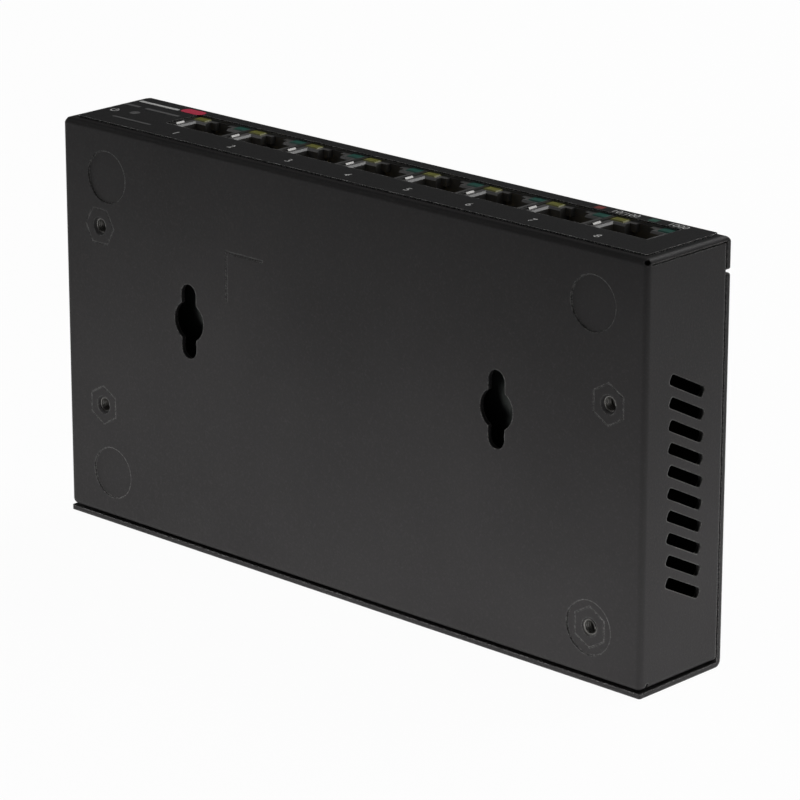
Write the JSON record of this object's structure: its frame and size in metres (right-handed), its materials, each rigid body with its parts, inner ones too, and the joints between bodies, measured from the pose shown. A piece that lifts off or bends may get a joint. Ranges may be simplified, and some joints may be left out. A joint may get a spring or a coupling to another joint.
{
  "type": "ethernet switch",
  "caption": "Compact desktop or wall-hung network switch in a folded sheet-metal case, with a row of shielded jacks, side vents and keyholes in the underside.",
  "frame": {"origin": "middle of the rear wall's outer face, on which the switch stands as in the picture", "axes": "+X along the port row from left to right, +Y from the underside to the top cover, +Z from the rear wall to the port face"},
  "size_m": [0.158, 0.024, 0.0863],
  "materials": {
    "case_paint": "fine-textured black powder coat",
    "film_print": "smooth satin black printed film",
    "zinc_steel": "zinc-plated steel with a dark clear coat",
    "screw_black": "black oxide screw",
    "shield_steel": "tinned spring steel sheet",
    "housing_plastic": "glass-filled black moulding",
    "contact_gold": "gold-flashed spring wire",
    "lamp_yellow": "tinted lamp lens",
    "lamp_green": "tinted lamp lens",
    "board_green": "solder mask on glass laminate",
    "package_black": "moulded chip package",
    "sink_aluminium": "plain extruded aluminium",
    "can_aluminium": "sleeved aluminium can",
    "ferrite": "pressed ferrite",
    "lamp_clear": "diffused clear lamp",
    "lead_tin": "tinned wire"
  },
  "bodies": {
    "root": {"base_tray": "case_paint", "top_cover": "case_paint", "cover_screws": "screw_black", "front_film": "film_print", "circuit_board": "board_green", "board_standoffs": "zinc_steel", "board_screws": "zinc_steel", "left_port_lamps": "lamp_yellow", "right_port_lamps": "lamp_green", "switch_chip": "package_black", "heat_sink": "sink_aluminium", "magnetics_modules": "package_black", "capacitors": "can_aluminium", "power_inductor": "ferrite", "crystal": "lead_tin", "inlet_body": "housing_plastic", "inlet_pin": "lead_tin", "inlet_spring": "lead_tin", "power_lamp": "lamp_clear", "power_lamp_leads": "lead_tin", "power_lamp_holder": "housing_plastic", "jack_shield_1": "shield_steel", "jack_housing_1": "housing_plastic", "jack_contacts_1": "contact_gold", "jack_shield_2": "shield_steel", "jack_housing_2": "housing_plastic", "jack_contacts_2": "contact_gold", "jack_shield_3": "shield_steel", "jack_housing_3": "housing_plastic", "jack_contacts_3": "contact_gold", "jack_shield_4": "shield_steel", "jack_housing_4": "housing_plastic", "jack_contacts_4": "contact_gold", "jack_shield_5": "shield_steel", "jack_housing_5": "housing_plastic", "jack_contacts_5": "contact_gold", "jack_shield_6": "shield_steel", "jack_housing_6": "housing_plastic", "jack_contacts_6": "contact_gold", "jack_shield_7": "shield_steel", "jack_housing_7": "housing_plastic", "jack_contacts_7": "contact_gold", "jack_shield_8": "shield_steel", "jack_housing_8": "housing_plastic", "jack_contacts_8": "contact_gold"}
  },
  "joints": []
}
